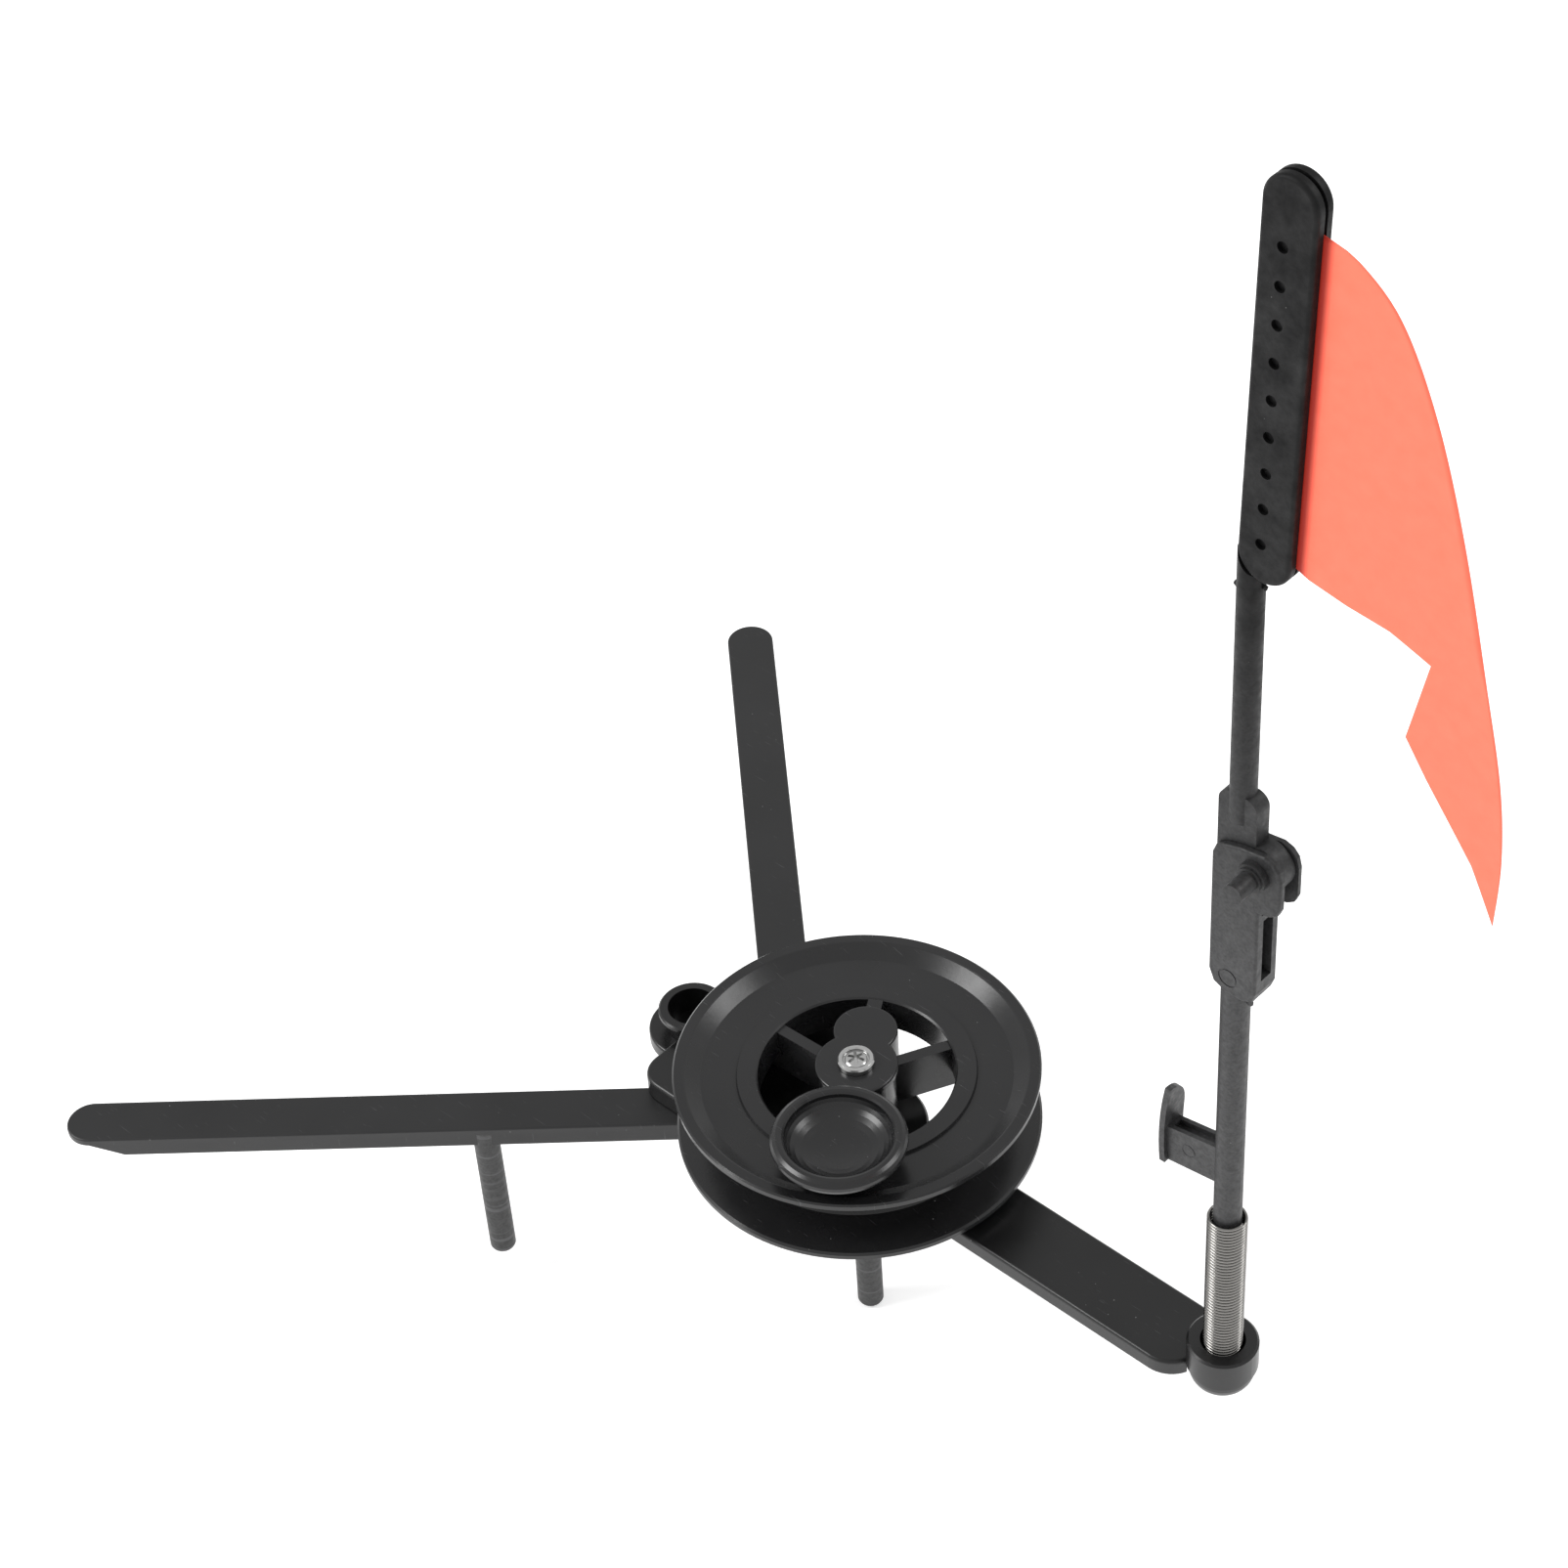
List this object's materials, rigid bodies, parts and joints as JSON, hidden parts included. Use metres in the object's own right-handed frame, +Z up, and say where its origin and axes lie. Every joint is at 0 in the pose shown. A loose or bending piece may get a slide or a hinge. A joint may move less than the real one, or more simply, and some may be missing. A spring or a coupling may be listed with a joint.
{
  "type": "ice fishing tip up",
  "caption": "Three-armed fishing tip up: a frame with folding legs on pegs, a grooved line spool with a finger knob, and a spring-mounted folding pole with a notched orange flag",
  "frame": {"origin": "on the spool's axis at the lower end of the centre peg", "axes": "+Z up the spool's axis, +X along the main arm towards the flag, +Y to the left arm's side"},
  "size_m": [0.3143, 0.2409, 0.3731],
  "materials": {
    "black_moulding": "smooth moulded black, faint scratches",
    "leg_moulding": "satin moulded black",
    "spool_moulding": "glossy moulded black",
    "pole_moulding": "fine speckled dark grey",
    "peg_rod": "dull, with fine rings",
    "washer_nylon": "plain",
    "bright_steel": "bright plated",
    "spring_steel": "bright drawn wire",
    "flag_sheet": "fluorescent orange coated cloth"
  },
  "bodies": {
    "frame": {"main_body": "black_moulding", "socket_cap": "black_moulding", "center_peg": "peg_rod", "thrust_washer": "washer_nylon", "axle_screw": "bright_steel", "leg_pivot_screws": "bright_steel", "leg_pivot_washers": "washer_nylon", "flag_spring": "spring_steel"},
    "spool_assembly": {"spool": "spool_moulding", "hub_cover": "spool_moulding", "spool_knob": "spool_moulding", "knob_screw": "bright_steel"},
    "left_leg": {"leg_left": "leg_moulding", "peg_left": "peg_rod"},
    "right_leg": {"leg_right": "leg_moulding", "peg_right": "peg_rod"},
    "lower_staff": {"lower_pole": "pole_moulding", "hinge_pin": "pole_moulding"},
    "upper_staff": {"upper_pole": "pole_moulding", "clamp_plate": "pole_moulding", "flag": "flag_sheet"}
  },
  "joints": [
    {"name": "spool_spin", "type": "hinge", "parent": "frame", "child": "spool_assembly", "pos_m": [0, 0, 0.0743], "axis": [0, 0, 1], "continuous": true},
    {"name": "leg_left_fold", "type": "hinge", "parent": "frame", "child": "left_leg", "pos_m": [-0.0351, 0.0136, 0.0524], "axis": [0, 0, 1], "range_deg": [-136.9, 0]},
    {"name": "leg_right_fold", "type": "hinge", "parent": "frame", "child": "right_leg", "pos_m": [-0.0351, -0.0136, 0.0524], "axis": [0, 0, 1], "range_deg": [0, 138]},
    {"name": "staff_tilt", "type": "hinge", "parent": "frame", "child": "lower_staff", "pos_m": [0.1063, 0, 0.0852], "axis": [0, -1, 0], "range_deg": [0, 80], "stiffness_Nm_per_rad": 0.4, "deforming": ["flag_spring"]},
    {"name": "staff_fold", "type": "hinge", "parent": "lower_staff", "child": "upper_staff", "pos_m": [0.1123, 0, 0.2169], "axis": [0, 1, 0], "range_deg": [0, 175], "deforming": ["flag"]}
  ]
}
